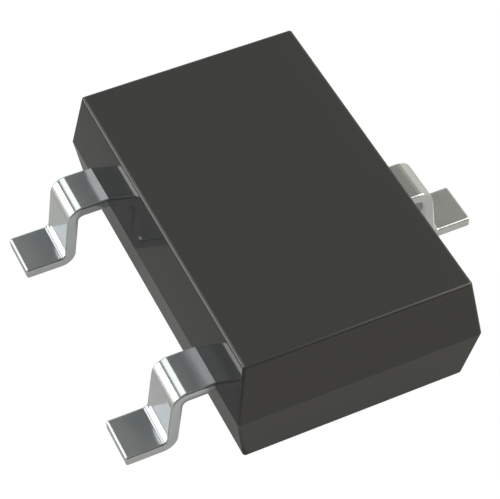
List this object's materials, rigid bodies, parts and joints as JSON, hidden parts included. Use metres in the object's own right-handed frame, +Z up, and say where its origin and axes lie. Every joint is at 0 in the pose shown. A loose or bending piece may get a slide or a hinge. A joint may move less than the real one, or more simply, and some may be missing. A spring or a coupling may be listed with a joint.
{
  "type": "sot-23 transistor",
  "caption": "Small surface-mount transistor: a moulded black body on formed gull-wing leads, for soldering flat to a circuit board.",
  "frame": {"origin": "on the board, midway between the tips of the opposite feet and midway along the body", "axes": "+X from the body's middle to the single collector lead, +Y along the body to the end with the base lead, +Z up, away from the board"},
  "size_m": [0.0032, 0.003, 0.001],
  "materials": {
    "moulding_compound": "fine satin black epoxy",
    "tin_plate": "smooth satin tin plate on copper alloy strip",
    "silver_epoxy": "cured silver-filled epoxy",
    "silicon": "polished silicon",
    "gold_wire": "drawn gold wire"
  },
  "bodies": {
    "root": {"mould_body": "moulding_compound", "base_lead": "tin_plate", "emitter_lead": "tin_plate", "collector_lead": "tin_plate", "die_attach": "silver_epoxy", "silicon_die": "silicon", "base_wire": "gold_wire", "emitter_wire": "gold_wire"}
  },
  "joints": []
}
